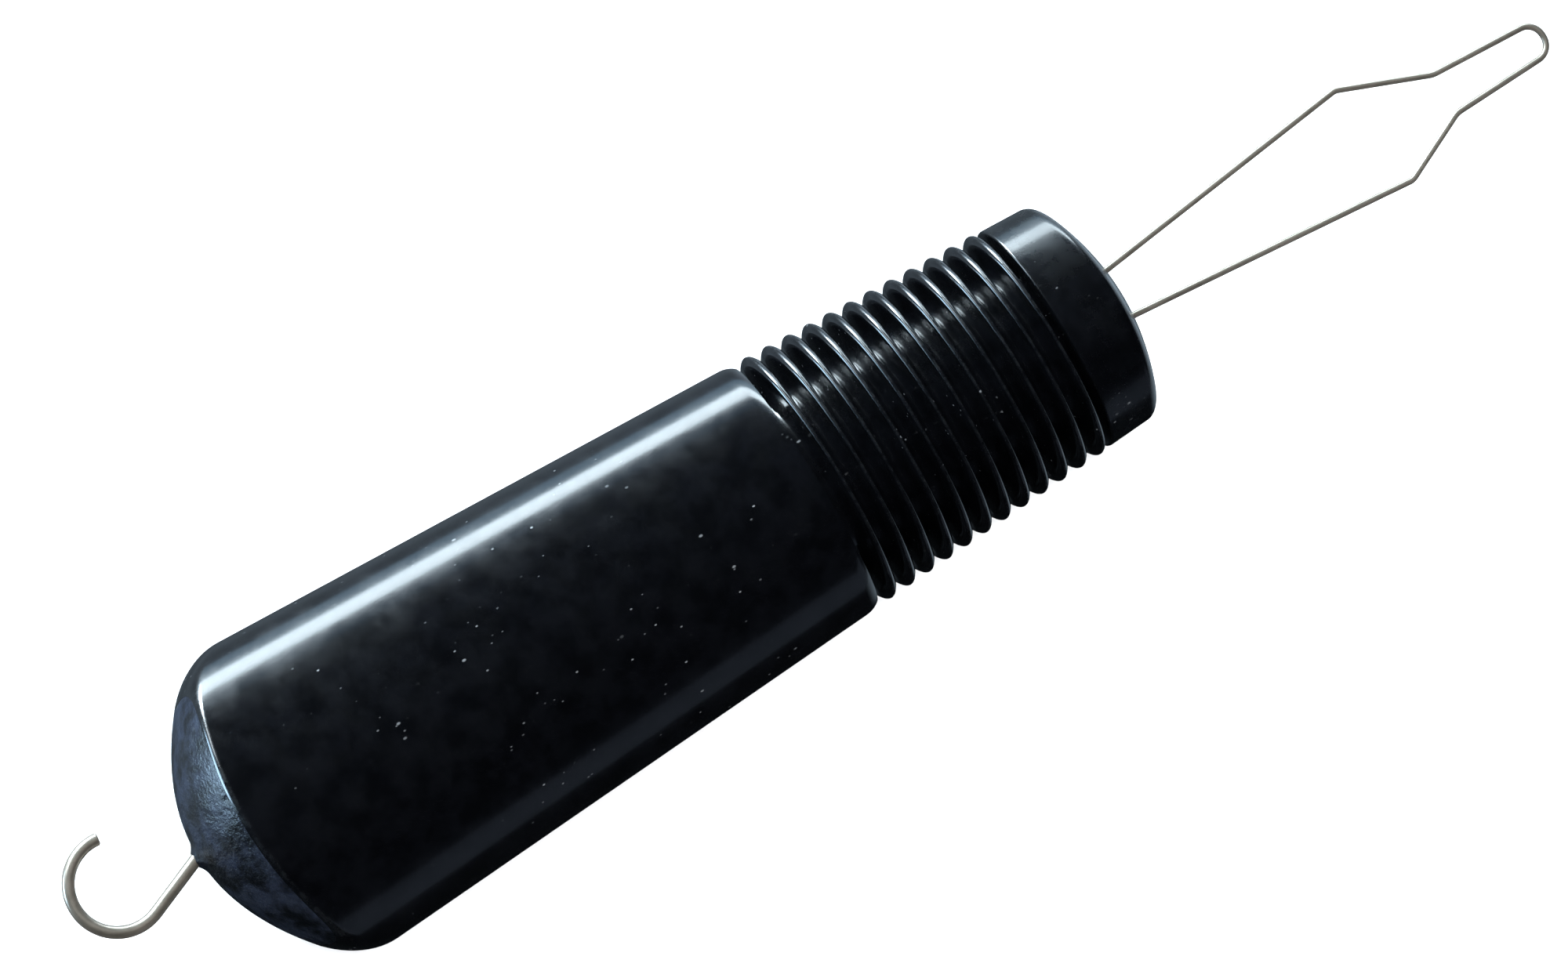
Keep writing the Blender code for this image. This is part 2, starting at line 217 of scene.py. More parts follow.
# Camera.
CAMERA_TILT = radians(12.5)
CAMERA_ROLL = radians(31.45)
CAMERA_DISTANCE = 0.7
CAMERA_TARGET = (-6.1 * MM, 1.44 * MM, 10.15 * MM)
CAMERA_LENS = 144.27
CAMERA_SENSOR_WIDTH = 36.0

SECTION_ANGLES = [(i + 0.5) * 2 * pi / SECTION_SIDES - pi / 2 for i in range(SECTION_SIDES)]


# Envelope


def half_width(x):
    return GRIP_HALF_WIDTH + GRIP_WIDTH_TAPER * x


def half_depth(x):
    return GRIP_HALF_DEPTH + GRIP_DEPTH_TAPER * x


def middle_height(x):
    return half_depth(x) * cos(BELLY_FLAT_ANGLE)


def section_point(x, angle, inset=0.0):
    y = (half_width(x) - inset) * cos(angle)
    z = (half_depth(x) - inset) * max(sin(angle), -cos(BELLY_FLAT_ANGLE))
    return Vector((x, y, z))


def fall(distance, radius):
    return distance**2 / (2 * radius)


def butt_wall_x(y, z):
    return BUTT_APEX_X + fall(y, BUTT_PLAN_RADIUS) + fall(z, BUTT_PROFILE_RADIUS)


def neck_wall_x(y, z):
    return NECK_APEX_X - fall(y, NECK_PLAN_RADIUS) - fall(z, NECK_PROFILE_RADIUS)


def butt_rounding(angle):
    at_side = abs(cos(angle)) ** BUTT_SIDE_SPREAD
    return BUTT_EDGE_ROUNDING + (BUTT_SIDE_ROUNDING - BUTT_EDGE_ROUNDING) * at_side


def corner_point(wall_x, angle, inset=0.0):
    point = section_point(wall_x(0.0, 0.0), angle, inset)
    for _ in range(CORNER_ROUNDS):
        point = section_point(wall_x(point.y, point.z), angle, inset)
    return point


def dome_point(wall_x, corner, setback):
    share = max(0.0, 1 - setback / hypot(corner.y, corner.z))
    y = corner.y * share
    z = corner.z * share
    return Vector((wall_x(y, z), y, z))


def rounded_edge(before, corner, after):
    points = []
    for step in range(EDGE_STEPS + 1):
        t = step / EDGE_STEPS
        points.append(before * (1 - t) ** 2 + corner * 2 * t * (1 - t) + after * t**2)
    return points


def smooth(t):
    t = min(1.0, max(0.0, t))
    return t * t * (3 - 2 * t)


# Meshes


def add_piece(name, bm, material, node, sharp=SHARP_ANGLE):
    bmesh.ops.recalc_face_normals(bm, faces=bm.faces)
    mesh = bpy.data.meshes.new(name)
    bm.to_mesh(mesh)
    bm.free()
    mesh.shade_smooth()
    mesh.set_sharp_from_angle(angle=sharp)
    mesh.materials.append(material)
    piece = bpy.data.objects.new(name, mesh)
    bpy.context.scene.collection.objects.link(piece)
    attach(piece, "root")
    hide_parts(node)
    return piece


def closed_body(columns, mark="wear"):
    """A closed body from a line of (point, value) pairs for each angle. The values make the mark."""
    bm = bmesh.new()
    layer = bm.verts.layers.float.new(mark)
    made = []
    for column in columns:
        verts = []
        for point, value in column:
            vertex = bm.verts.new((point.x, point.y, point.z + middle_height(point.x)))
            vertex[layer] = value
            verts.append(vertex)
        made.append(verts)
    for left, right in zip(made, made[1:] + made[:1]):
        pairs = list(zip(left, right))
        for (a, b), (c, d) in zip(pairs, pairs[1:] + pairs[:1]):
            bm.faces.new((a, b, d, c))
    bmesh.ops.remove_doubles(bm, verts=bm.verts, dist=WELD_DISTANCE)
    bmesh.ops.dissolve_degenerate(bm, edges=bm.edges, dist=SLIVER_LENGTH)
    return bm


# Wires


def rounded_route(bends):
    points = [Vector(bends[0][:2])]
    for before, bend, after in zip(bends, bends[1:], bends[2:]):
        corner = Vector(bend[:2])
        back = (Vector(before[:2]) - corner).normalized()
        ahead = (Vector(after[:2]) - corner).normalized()
        half_angle = back.angle(ahead) / 2
        centre = corner + (back + ahead).normalized() * bend[2] / sin(half_angle)
        first = corner + back * bend[2] / tan(half_angle) - centre
        last = corner + ahead * bend[2] / tan(half_angle) - centre
        turn = pi - 2 * half_angle
        steps = max(2, round(turn / ARC_STEP))
        for step in range(steps + 1):
            t = step / steps
            points.append(centre + (first * sin((1 - t) * turn) + last * sin(t * turn)) / sin(turn))
    points.append(Vector(bends[-1][:2]))
    return points


def hook_route():
    centre = Vector(HOOK_CENTRE)
    root = Vector(HOOK_ROOT)
    from_centre = root - centre
    tangent_angle = atan2(from_centre.y, from_centre.x) - acos(HOOK_RADIUS / from_centre.length)
    steps = round(HOOK_SWEEP / ARC_STEP)
    points = []
    for step in range(steps, -1, -1):
        angle = tangent_angle - HOOK_SWEEP * step / steps
        points.append(centre + HOOK_RADIUS * Vector((cos(angle), sin(angle))))
    start = (*points[-1], 0.0)
    return points + rounded_route((start, *HOOK_INNER_BENDS))[1:]


def stations(route):
    """Points along the route in the row frame, no further apart than WIRE_STEP."""
    points = [Vector((p.x, p.y, middle_height(p.x))) for p in route]
    fine = [points[0]]
    for a, b in zip(points, points[1:]):
        parts = max(1, ceil((b - a).length / WIRE_STEP))
        fine += [a.lerp(b, k / parts) for k in range(1, parts + 1)]
    return fine


def tube(route, radius, chamfer=0.0):
    """A round wire. Its vertices carry how far along it and where round it they are."""
    points = stations(route)
    bm = bmesh.new()
    layer = bm.verts.layers.float_vector.new("lay")
    rings = []
    travelled = 0.0
    for i, point in enumerate(points):
        before = points[max(0, i - 1)]
        after = points[min(len(points) - 1, i + 1)]
        along = (after - before).normalized()
        side = along.cross(Vector((0, 0, 1))).normalized()
        up = side.cross(along)
        travelled += (point - before).length
        size = radius - chamfer if i in (0, len(points) - 1) else radius
        ring = []
        for k in range(WIRE_SIDES):
            a = 2 * pi * k / WIRE_SIDES
            vertex = bm.verts.new(point + (side * cos(a) + up * sin(a)) * size)
            vertex[layer] = Vector((travelled, cos(a) * MM, sin(a) * MM))
            ring.append(vertex)
        rings.append(ring)
        if chamfer and i == 0:
            wider = []
            for old in ring:
                outward = (old.co - point).normalized()
                vertex = bm.verts.new(old.co + along * chamfer + outward * chamfer)
                vertex[layer] = old[layer]
                wider.append(vertex)
            rings.append(wider)
    for ring, ahead in zip(rings, rings[1:]):
        for k in range(WIRE_SIDES):
            bm.faces.new((ring[k - 1], ring[k], ahead[k], ahead[k - 1]))
    bm.faces.new(rings[0])
    bm.faces.new(rings[-1][::-1])
    return bm


# Materials


class Nodes:
    """Adds nodes to a tree. A call adds one, from numbers or from the outputs of other nodes."""

    def __init__(self, tree):
        self.tree = tree

    def add(self, kind, inputs=(), output=0, **settings):
        node = self.tree.nodes.new(kind)
        for key, value in settings.items():
            setattr(node, key, value)
        for key, value in dict(inputs).items():
            socket = node.inputs[key]
            if isinstance(value, bpy.types.NodeSocket):
                self.tree.links.new(value, socket)
            else:
                socket.default_value = value
        return node.outputs[output]

    def math(self, operation, a, b=0.0, clamp=False):
        return self.add("ShaderNodeMath", {0: a, 1: b}, operation=operation, use_clamp=clamp)

    def span(self, value, low, high, to_low=0.0, to_high=1.0):
        inputs = {
            "Value": value,
            "From Min": low,
            "From Max": high,
            "To Min": to_low,
            "To Max": to_high,
        }
        return self.add("ShaderNodeMapRange", inputs, interpolation_type="SMOOTHSTEP")

    def noise(self, vector, scale, detail=2.0, roughness=0.5):
        inputs = {"Vector": vector, "Scale": scale, "Detail": detail, "Roughness": roughness}
        return self.add("ShaderNodeTexNoise", inputs)

    def stretch(self, vector, scale, rotation=(0, 0, 0)):
        inputs = {"Vector": vector, "Scale": scale, "Rotation": rotation}
        return self.add("ShaderNodeMapping", inputs)

    def mix(self, factor, a, b):
        return self.add(
            "ShaderNodeMix", {"Factor": factor, 6: a, 7: b}, output=2, data_type="RGBA"
        )


def new_material(name):
    material = bpy.data.materials.new(name)
    material.use_nodes = True
    return material, Nodes(material.node_tree), material.node_tree.nodes["Principled BSDF"]


def specks(n, place, scale, size, share, turn):
    """Small dots of a Voronoi pattern, in a share of the cells of some patches."""
    laid = n.stretch(place, (scale * 0.6, scale, scale), turn)
    cell = n.tree.nodes.new("ShaderNodeTexVoronoi")
    n.tree.links.new(laid, cell.inputs["Vector"])
    cell.inputs["Scale"].default_value = 1.0
    dot = n.span(cell.outputs["Distance"], size, size * 0.35)
    pick = n.tree.nodes.new("ShaderNodeSeparateColor")
    n.tree.links.new(cell.outputs["Color"], pick.inputs[0])
    chosen = n.span(pick.outputs[0], 1 - share, 1 - share + 0.03)
    strength = n.span(pick.outputs[1], 0.0, 1.0, 0.25, 1.0)
    patch = n.span(n.noise(place, DUST_PATCH_SCALE), 0.44, 0.60)
    there = n.math("MULTIPLY", dot, chosen)
    return n.math("MULTIPLY", there, n.math("MULTIPLY", strength, patch))


def rubber_material(name, dark, light, roughness, grain, dust, coat, mottle):
    """Moulded vinyl rubber: nearly black, with dust, grain, rubbed edges and moulding pits; the pits
    are dented by the bump and also painted black, a painted shade in their hollows.

    The sleeve's mark "wear" is up to 1 where an edge is rubbed and -1 on the slit floors.
    The cap's mark "pitted" is up to 1 where it has pits.
    """
    material, n, shader = new_material(name)
    place = n.add("ShaderNodeTexCoord", output=3)
    mark = n.add("ShaderNodeAttribute", output=2, attribute_name="wear")
    wear = n.math("MAXIMUM", mark, 0.0)
    floor = n.math("MAXIMUM", n.math("MULTIPLY", mark, -1.0), 0.0)
    pitted = n.add("ShaderNodeAttribute", output=2, attribute_name="pitted")
    # The pit marks dent the bump and also paint the pits' hollows black as painted shade.
    pits = n.math("MULTIPLY", specks(n, place, PIT_SCALE, 0.26, 0.5, (0.3, 0.9, 0.2)), pitted)
    cloud = n.span(n.noise(place, CLOUD_SCALE, 4.0, 0.6), 0.35, 0.65)
    colour = n.mix(cloud, dark, light)
    worn_through = n.span(n.noise(place, RUBBED_SCALE, 3.0, 0.7), 0.3, 0.7)
    rubbed = n.math("MULTIPLY", wear, worn_through)
    colour = n.mix(n.math("MULTIPLY", rubbed, RUBBED_TINT), colour, RUBBED_COLOUR)
    fine = specks(n, place, FINE_DUST_SCALE, 0.20, 0.16, (0.2, 0.1, 0.5))
    coarse = specks(n, place, COARSE_DUST_SCALE, 0.17, 0.12, (0.4, 0.3, -0.6))
    spots = n.math("MULTIPLY", n.math("MAXIMUM", fine, coarse), dust)
    colour = n.mix(spots, colour, DUST_COLOUR)
    # Painted shade: the pits' hollows turned black.
    colour = n.mix(pits, colour, PIT_SHADE_COLOUR)
    n.tree.links.new(colour, shader.inputs["Base Color"])
    uneven = n.noise(place, GLOSS_SCALE, 5.0, 0.65)
    gloss = n.span(uneven, 0.25, 0.75, roughness * 0.8, roughness * 1.3)
    gloss = n.math("ADD", gloss, n.math("MULTIPLY", spots, DUST_ROUGHNESS))
    gloss = n.math("ADD", gloss, n.math("MULTIPLY", rubbed, RUBBED_ROUGHNESS), clamp=True)
    on_floor = n.math("MULTIPLY", floor, SLIT_FLOOR_ROUGHNESS)
    gloss = n.math("MULTIPLY", gloss, n.math("ADD", 1.0, on_floor))
    n.tree.links.new(gloss, shader.inputs["Roughness"])
    height = n.math("MULTIPLY", n.noise(place, GRAIN_SCALE, 3.0, 0.6), grain)
    swell = n.math("MULTIPLY", n.noise(place, SWELL_SCALE), SWELL_HEIGHT)
    height = n.math("ADD", height, swell)
    blotches = n.math("MULTIPLY", n.noise(place, MOTTLE_SCALE, 3.0), mottle)
    height = n.math("ADD", height, blotches)
    holes = n.math("MULTIPLY", pits, PIT_DEPTH)
    height = n.math("ADD", height, n.math("SUBTRACT", spots, holes))
    bump = n.add("ShaderNodeBump", {"Height": height, "Strength": 0.5, "Distance": GRAIN_DEPTH})
    n.tree.links.new(bump, shader.inputs["Normal"])
    shader.inputs["Coat Weight"].default_value = coat
    shader.inputs["Coat Roughness"].default_value = COAT_ROUGHNESS
    shader.inputs["IOR"].default_value = VINYL_IOR
    return material


def steel_material():
    """Drawn stainless wire: satin, with fine lines along it and faint dull patches."""
    material, n, shader = new_material("drawn_stainless_wire")
    lay = n.add("ShaderNodeAttribute", output=1, attribute_name="lay")
    lines = n.noise(n.stretch(lay, WIRE_LINE_SCALES), 1.0, 4.0, 0.6)
    patches = n.noise(n.stretch(lay, WIRE_PATCH_SCALES), 1.0, 3.0, 0.6)
    tone = n.math("ADD", n.math("MULTIPLY", lines, 0.6), n.math("MULTIPLY", patches, 0.4))
    colour = n.mix(n.span(tone, 0.3, 0.7), STEEL_DARK, STEEL_LIGHT)
    n.tree.links.new(colour, shader.inputs["Base Color"])
    n.tree.links.new(n.span(tone, 0.3, 0.7, 0.38, 0.26), shader.inputs["Roughness"])
    bump = n.add("ShaderNodeBump", {"Height": lines, "Strength": 0.4, "Distance": WIRE_LINE_DEPTH})
    n.tree.links.new(bump, shader.inputs["Normal"])
    shader.inputs["Metallic"].default_value = WIRE_METALLIC
    return material


def plastic_material():
    """Moulded core plastic, grey, with a matt grain."""
    material, n, shader = new_material("moulded_core_plastic")
    place = n.add("ShaderNodeTexCoord", output=3)
    cloud = n.noise(place, 90.0, 4.0, 0.6)
    colour = n.mix(cloud, PLASTIC_DARK, PLASTIC_LIGHT)
    n.tree.links.new(colour, shader.inputs["Base Color"])
    n.tree.links.new(n.span(cloud, 0.2, 0.8, 0.45, 0.65), shader.inputs["Roughness"])
    grain = n.noise(place, 3000.0, 3.0, 0.6)
    bump = n.add("ShaderNodeBump", {"Height": grain, "Strength": 0.4, "Distance": GRAIN_DEPTH})
    n.tree.links.new(bump, shader.inputs["Normal"])
    return material


# Pieces


def slit_half_width(angle):
    on_back = abs(sin(angle))
    return SLIT_SIDE_HALF_WIDTH + (SLIT_BACK_HALF_WIDTH - SLIT_SIDE_HALF_WIDTH) * on_back


def groove_point(x, angle, drop, slit):
    """The point this far below the envelope, and at the slit's foot as well where slit is 1."""
    y = (half_width(x) - drop - slit * SLIT_SIDE_DEPTH) * cos(angle)
    rise = max(sin(angle), -cos(BELLY_FLAT_ANGLE))
    return Vector((x, y, (half_depth(x) - drop - slit * SLIT_BACK_DEPTH) * rise))


def half_rib_steps(floor_end, edge):
    """Steps from a slit's middle to the crest: share of the pitch, depth in the slit, floor's sag."""
    steps = []
    for k in range(FLOOR_STEPS + 1):
        share = k / FLOOR_STEPS
        steps.append((floor_end * share, 1.0, SLIT_SAG * (1 - share**2)))
    for k in range(1, WALL_STEPS + 1):
        steps.append((floor_end + edge * k / WALL_STEPS, 1 - smooth(k / WALL_STEPS), 0.0))
    wall_end = floor_end + edge
    for k in range(1, CREST_STEPS + 1):
        steps.append((wall_end + (0.5 - wall_end) * k / CREST_STEPS, 0.0, 0.0))
    return steps


def shoulder_line(angle):
    """Points and wear from the barrel's end down to the floor of the first slit."""
    made = []
    slit_start = SHOULDER_LENGTH - slit_half_width(angle)
    for step in range(1, EDGE_STEPS + WALL_STEPS + 1):
        run = (slit_start - SLIT_EDGE) * min(step, EDGE_STEPS) / EDGE_STEPS
        wall = max(0, step - EDGE_STEPS) / WALL_STEPS
        run += SLIT_EDGE * wall
        drop = RIB_DEPTH * (1 - sqrt(1 - (run / SHOULDER_LENGTH) ** 2))
        drop += (RIB_DEPTH - drop) * wall
        x = RIBS_START_X - SHOULDER_LENGTH + run
        made.append((groove_point(x, angle, drop, smooth(wall)), 0.0))
    return made


def rib_line(angle):
    """Points and wear over all the ribs."""
    made = []
    on_back = abs(sin(angle)) ** RIB_SIDE_SPREAD
    sharpness = RIB_SIDE_SHARPNESS + (RIB_BACK_SHARPNESS - RIB_SIDE_SHARPNESS) * on_back
    half_rib = half_rib_steps(slit_half_width(angle) / RIB_PITCH, SLIT_EDGE / RIB_PITCH)
    whole_rib = half_rib + [(1 - t, slit, sag) for t, slit, sag in reversed(half_rib[1:-1])]
    for rib in range(RIB_COUNT):
        for t, slit, sag in whole_rib:
            rise = sin(pi * t) ** (2 * sharpness)
            x = RIBS_START_X + (rib + t) * RIB_PITCH
            crest = max(0.0, 1 - abs(t - 0.5) / CREST_WEAR_REACH)
            point = groove_point(x, angle, RIB_DEPTH * (1 - rise) + sag, slit)
            made.append((point, crest - slit))
    made.append((groove_point(RIBS_END_X, angle, RIB_DEPTH + SLIT_SAG, 1.0), 0.0))
    return made


def sleeve_column(angle):
    """Points and wear of one line along the sleeve: over the barrel and ribs, and back inside."""
    corner = corner_point(butt_wall_x, angle)
    rounding = butt_rounding(angle)
    edge_start = section_point(corner.x + rounding, angle)
    edge_end = dome_point(butt_wall_x, corner, rounding)
    made = [(dome_point(butt_wall_x, corner, rounding + LIP_WIDTH), LIP_WEAR)]
    for step, point in enumerate(rounded_edge(edge_end, corner, edge_start)):
        share = step / EDGE_STEPS
        made.append((point, sin(pi * share) if rounding < MM else 0.0))
    shoulder_x = RIBS_START_X - SHOULDER_LENGTH
    for step in range(1, BARREL_STEPS + 1):
        x = edge_start.x + (shoulder_x - edge_start.x) * step / BARREL_STEPS
        made.append((section_point(x, angle), 0.0))
    made += shoulder_line(angle) + rib_line(angle)
    made.append((section_point(RIBS_END_X, angle, SLEEVE_WALL), 0.0))
    made.append((section_point(corner.x + SEAT_LENGTH, angle, SLEEVE_WALL), 0.0))
    made.append((section_point(corner.x + SEAT_LENGTH, angle, SEAT_DEPTH), 0.0))
    return made


def add_sleeve(material):
    body = closed_body([sleeve_column(angle) for angle in SECTION_ANGLES])
    add_piece("ribbed_grip_sleeve", body, material, "grip_sleeve")


def nipple_rise(distance):
    """Height of the rubber drawn up round the hook's wire, this far from the wire's axis."""
    if distance < NIPPLE_TOP_RADIUS:
        return NIPPLE_HEIGHT
    share = (distance - NIPPLE_TOP_RADIUS) / (NIPPLE_RADIUS - NIPPLE_TOP_RADIUS)
    return NIPPLE_HEIGHT * max(0.0, 1 - share) ** NIPPLE_FLARE


def flow_ridge(flat, root):
    """Height of the faint ridge that runs from the hook's wire up the butt wall."""
    run = Vector(FLOW_RIDGE_END) - root
    share = (flat - root).dot(run) / run.length_squared
    if not 0 < share < 1:
        return 0.0
    aside = (flat - root - run * share).length
    return FLOW_RIDGE_HEIGHT * (1 - smooth(share)) * exp(-((aside / FLOW_RIDGE_WIDTH) ** 2))


def cap_column(angle):
    """Points and pitting of one line from the hook's wire over the cap's face, and back inside."""
    corner = corner_point(butt_wall_x, angle)
    rim = dome_point(butt_wall_x, corner, butt_rounding(angle) + LIP_WIDTH + SEAM)
    root = Vector((HOOK_ROOT[1], 0.0))
    reach = Vector((rim.y, rim.z)) - root
    across = reach.normalized()
    hole = HOOK_WIRE_RADIUS * HOOK_HOLE_STRETCH + WIRE_HUG
    hole_y = root.x + across.x * hole
    hole_z = across.y * hole
    distances = [hole, *(hole + step for step in HOOK_HOLE_STEPS)]
    while distances[-1] < NIPPLE_RADIUS:
        distances.append(distances[-1] + NIPPLE_STEP)
    last = distances[-1]
    rest = reach.length - last
    distances += [last + rest * k / BUTT_DOME_STEPS for k in range(1, BUTT_DOME_STEPS + 1)]
    points = [(Vector((butt_wall_x(0.0, 0.0) + HOOK_HOLE_LINING, hole_y, hole_z)), 0.0)]
    for distance in distances:
        flat = root + across * distance
        lip = HOOK_HOLE_LIP * exp(-(distance - hole) / HOOK_HOLE_LIP_REACH)
        x = butt_wall_x(flat.x, flat.y) - nipple_rise(distance) - flow_ridge(flat, root) + lip
        near_rim = smooth(1 - (reach.length - distance) / PITTED_WIDTH)
        points.append((Vector((x, flat.x, flat.y)), near_rim))
    step_x = corner.x + SEAT_LENGTH - GAP
    plug_x = CORE_END_X - GAP
    points.append((section_point(step_x, angle, SEAT_DEPTH + GAP), 0.0))
    points.append((section_point(plug_x, angle, SLEEVE_WALL + GAP), 0.0))
    points.append((Vector((plug_x, hole_y, hole_z)), 0.0))
    return points


def add_cap(material):
    body = closed_body([cap_column(angle) for angle in SECTION_ANGLES], "pitted")
    add_piece("domed_butt_cap", body, material, "butt_cap")


def collar_column(angle):
    """Points of one line from the spigot's middle over the collar's rim to its face's middle."""
    corner = corner_point(neck_wall_x, angle, COLLAR_INSET)
    rear_x = RIBS_END_X + SEAM
    spigot_x = rear_x - SPIGOT_LENGTH
    before = section_point(corner.x - NECK_EDGE_ROUNDING, angle, COLLAR_INSET)
    after = dome_point(neck_wall_x, corner, NECK_EDGE_ROUNDING)
    reach = hypot(corner.y, corner.z)
    points = [Vector((spigot_x, 0.0, 0.0))]
    points.append(section_point(spigot_x, angle, SLEEVE_WALL + GAP))
    points.append(section_point(rear_x, angle, SLEEVE_WALL + GAP))
    points.append(section_point(rear_x, angle, COLLAR_INSET + COLLAR_BEVEL))
    bevel_corner = section_point(rear_x, angle, COLLAR_INSET)
    bevel_end = section_point(rear_x + COLLAR_BEVEL, angle, COLLAR_INSET)
    points += rounded_edge(points[-1], bevel_corner, bevel_end)[1:]
    for step in range(1, COLLAR_STEPS):
        points.append(bevel_end.lerp(before, step / COLLAR_STEPS))
    points += rounded_edge(before, corner, after)
    edge = 1 - NECK_EDGE_ROUNDING / reach
    for step in range(1, NECK_DOME_STEPS):
        setback = reach * (1 - edge * (1 - step / NECK_DOME_STEPS))
        point = dome_point(neck_wall_x, corner, setback)
        rise = 0.0
        for side in (-1, 1):
            off = hypot(point.y - side * leg_exit(), point.z)
            rise += LIP_ROUND_LEGS * max(0.0, 1 - off / LEG_LIP_RADIUS) ** LEG_LIP_FLARE
        point.x += rise
        points.append(point)
    points.append(Vector((NECK_APEX_X, 0.0, 0.0)))
    return points


def leg_exit():
    """Distance from the middle at which the loop's legs leave the collar."""
    bend, ahead = LOOP_BENDS[2:4]
    share = (NECK_APEX_X - bend[0]) / (ahead[0] - bend[0])
    return abs(bend[1] + (ahead[1] - bend[1]) * share)


def cut(piece, cutter_mesh):
    """Cuts the mesh out of the piece for good."""
    cutter = bpy.data.objects.new("cutter", cutter_mesh)
    bpy.context.scene.collection.objects.link(cutter)
    modifier = piece.modifiers.new("cut", "BOOLEAN")
    modifier.operation = "DIFFERENCE"
    modifier.object = cutter
    graph = bpy.context.evaluated_depsgraph_get()
    made = bpy.data.meshes.new_from_object(piece.evaluated_get(graph), depsgraph=graph)
    piece.modifiers.remove(modifier)
    piece.data = made
    bpy.data.objects.remove(cutter)


def add_collar(material, route):
    columns = [[(point, 0.0) for point in collar_column(angle)] for angle in SECTION_ANGLES]
    body = closed_body(columns)
    piece = add_piece("domed_neck_collar", body, material, "neck_collar")
    bm = tube(route, LOOP_WIRE_RADIUS + WIRE_HUG)
    mesh = bpy.data.meshes.new("channel")
    bm.to_mesh(mesh)
    bm.free()
    cut(piece, mesh)


# Room


def add_floor():
    material, n, shader = new_material("pale_floor")
    place = n.add("ShaderNodeTexCoord", output=3)
    cloud = n.noise(place, 3.0, 3.0)
    n.tree.links.new(n.mix(cloud, FLOOR_DARK, FLOOR_LIGHT), shader.inputs["Base Color"])
    shader.inputs["Roughness"].default_value = 0.9
    shader.inputs["Specular IOR Level"].default_value = 0.1
    bm = bmesh.new()
    bmesh.ops.create_grid(bm, x_segments=8, y_segments=8, size=4.0)
    mesh = bpy.data.meshes.new("floor")
    bm.to_mesh(mesh)
    bm.free()
    mesh.materials.append(material)
    floor = bpy.data.objects.new("floor", mesh)
    bpy.context.scene.collection.objects.link(floor)
    floor.visible_glossy = False


def add_softbox(name, direction, distance, size, radiance, colour, glossy=True):
    """A rectangular light that faces the row frame's origin from this direction."""
    data = bpy.data.lights.new(name, "AREA")
    data.shape = "RECTANGLE"
    data.size, data.size_y = size
    data.energy = radiance * pi * size[0] * size[1]
    data.color = colour
    light = bpy.data.objects.new(name, data)
    away = Vector(direction).normalized()
    light.location = away * distance
    light.rotation_mode = "QUATERNION"
    light.rotation_quaternion = away.to_track_quat("Z", "Y")
    light.visible_glossy = glossy
    bpy.context.scene.collection.objects.link(light)


def add_world():
    """A dim room: dark overhead, with a glow below the horizon on the far side and at both ends."""
    world = bpy.data.worlds.new("studio")
    world.use_nodes = True
    bpy.context.scene.world = world
    n = Nodes(world.node_tree)
    toward = n.add("ShaderNodeTexCoord", output=0)
    split = n.tree.nodes.new("ShaderNodeSeparateXYZ")
    n.tree.links.new(toward, split.inputs[0])
    below = n.span(split.outputs["Z"], 0.0, -0.12)
    far_side = n.span(split.outputs["Y"], -0.15, 0.15)
    far_side = n.math("MULTIPLY", far_side, n.span(split.outputs["Z"], -0.75, -0.97, 1.0, 0.35))
    butt_end = n.span(split.outputs["X"], -0.35, -0.75)
    butt_end = n.math("MULTIPLY", butt_end, n.span(split.outputs["Y"], -0.20, 0.25, 0.10, 1.0))
    loop_end = n.span(split.outputs["X"], 0.35, 0.75)
    far_side = n.math("MULTIPLY", far_side, FAR_SIDE_GLOW)
    glow = n.math("ADD", far_side, n.math("MULTIPLY", butt_end, BUTT_END_GLOW))
    glow = n.math("ADD", glow, n.math("MULTIPLY", loop_end, LOOP_END_GLOW))
    strength = n.math("ADD", n.math("MULTIPLY", glow, below), ROOM_GLOW)
    background = n.tree.nodes["Background"]
    n.tree.links.new(strength, background.inputs["Strength"])
    background.inputs["Color"].default_value = WORLD_COLOUR


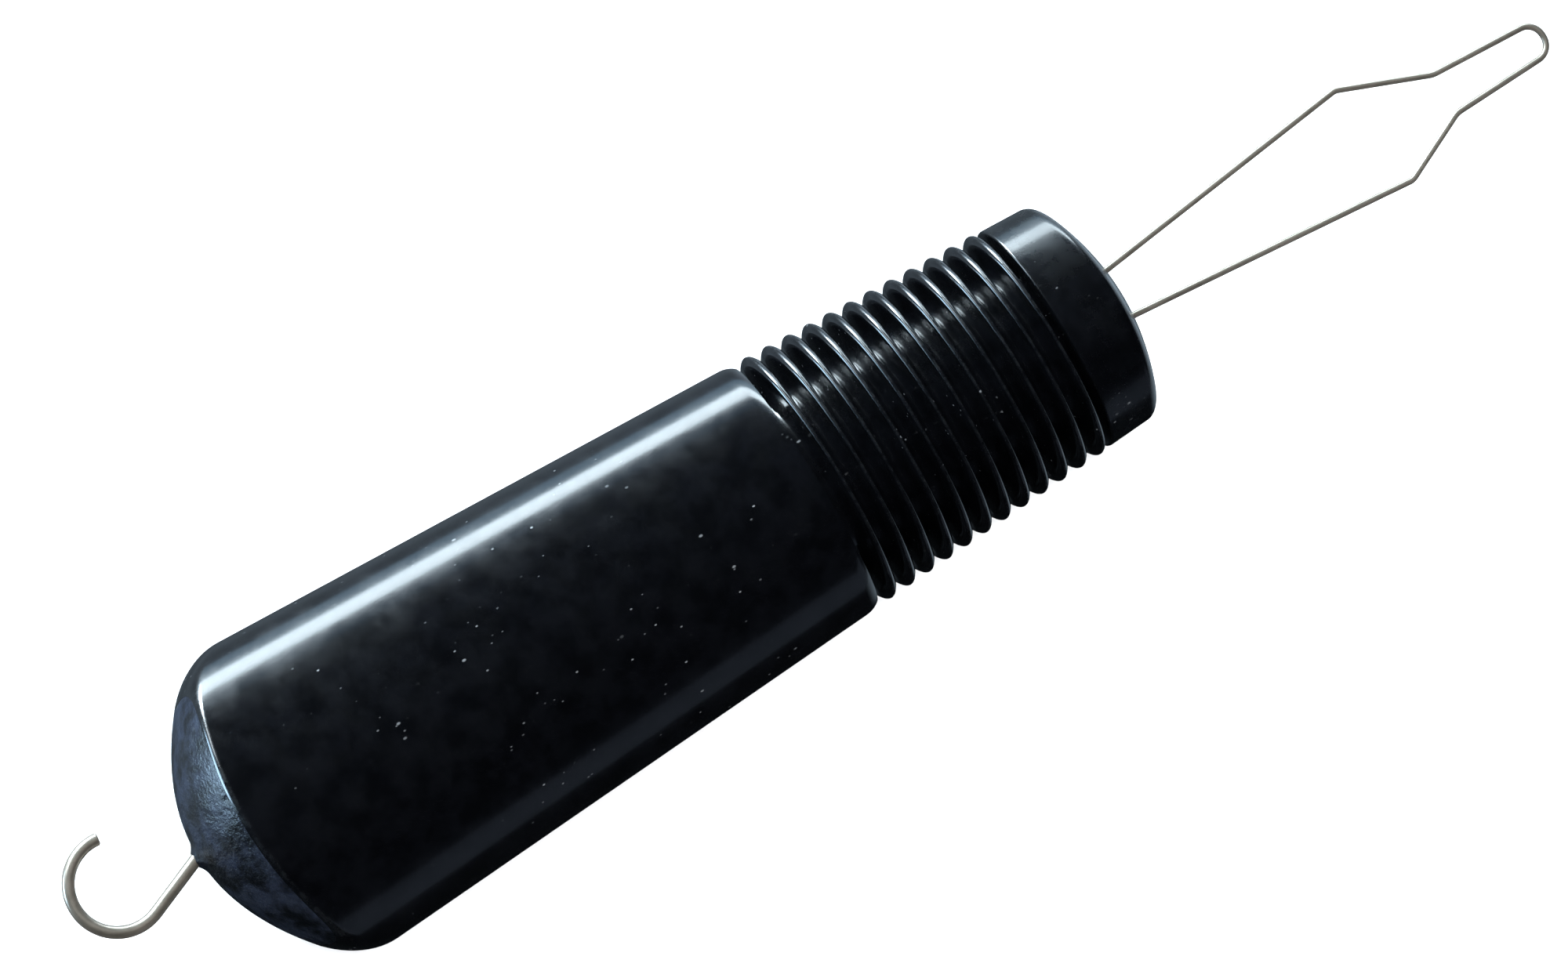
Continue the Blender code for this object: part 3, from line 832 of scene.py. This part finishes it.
def add_camera():
    """The photograph's view: tilted along X towards the butt, and rolled about its own axis."""
    along = Vector((cos(CAMERA_TILT), 0, sin(CAMERA_TILT)))
    across = Vector((0, 1, 0))
    back = Vector((-sin(CAMERA_TILT), 0, cos(CAMERA_TILT)))
    right = cos(CAMERA_ROLL) * along - sin(CAMERA_ROLL) * across
    up = sin(CAMERA_ROLL) * along + cos(CAMERA_ROLL) * across
    data = bpy.data.cameras.new("camera")
    data.sensor_width = CAMERA_SENSOR_WIDTH
    data.lens = CAMERA_LENS
    data.clip_start = 0.01
    data.clip_end = 20.0
    camera = bpy.data.objects.new("camera", data)
    bpy.context.scene.collection.objects.link(camera)
    matrix = Matrix((right, up, back)).transposed().to_4x4()
    matrix.translation = Vector(CAMERA_TARGET) + back * CAMERA_DISTANCE
    camera.matrix_world = matrix
    bpy.context.scene.camera = camera


def main():
    grip_rubber = rubber_material(
        "glossy_black_vinyl",
        GRIP_DARK,
        GRIP_LIGHT,
        roughness=0.21,
        grain=0.6,
        dust=1.0,
        coat=0.45,
        mottle=0.6,
    )
    cap_rubber = rubber_material(
        "dull_black_vinyl",
        CAP_DARK,
        CAP_LIGHT,
        roughness=0.34,
        grain=5.0,
        dust=0.5,
        coat=0.0,
        mottle=16.0,
    )
    collar_rubber = rubber_material(
        "satin_black_vinyl",
        GRIP_DARK,
        GRIP_LIGHT,
        roughness=0.25,
        grain=0.8,
        dust=0.6,
        coat=0.35,
        mottle=0.8,
    )
    steel = steel_material()
    plastic = plastic_material()

    loop = rounded_route(LOOP_BENDS)
    hook = hook_route()
    add_sleeve(grip_rubber)
    add_cap(cap_rubber)
    add_collar(collar_rubber, loop)
    wire = tube(loop, LOOP_WIRE_RADIUS)
    add_piece("button_loop_wire", wire, steel, "button_loop")
    wire = tube(hook, HOOK_WIRE_RADIUS, CUT_CHAMFER)
    add_piece("zip_hook_wire", wire, steel, "zip_hook", CUT_SHARP_ANGLE)
    for name in ("core_upper", "core_lower"):
        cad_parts[name].data.materials.clear()
        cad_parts[name].data.materials.append(plastic)

    add_floor()
    add_world()
    for softbox in SOFTBOXES:
        add_softbox(*softbox)
    add_softbox(*FILL, glossy=False)
    add_camera()
    bpy.context.scene.view_settings.view_transform = "Standard"


main()
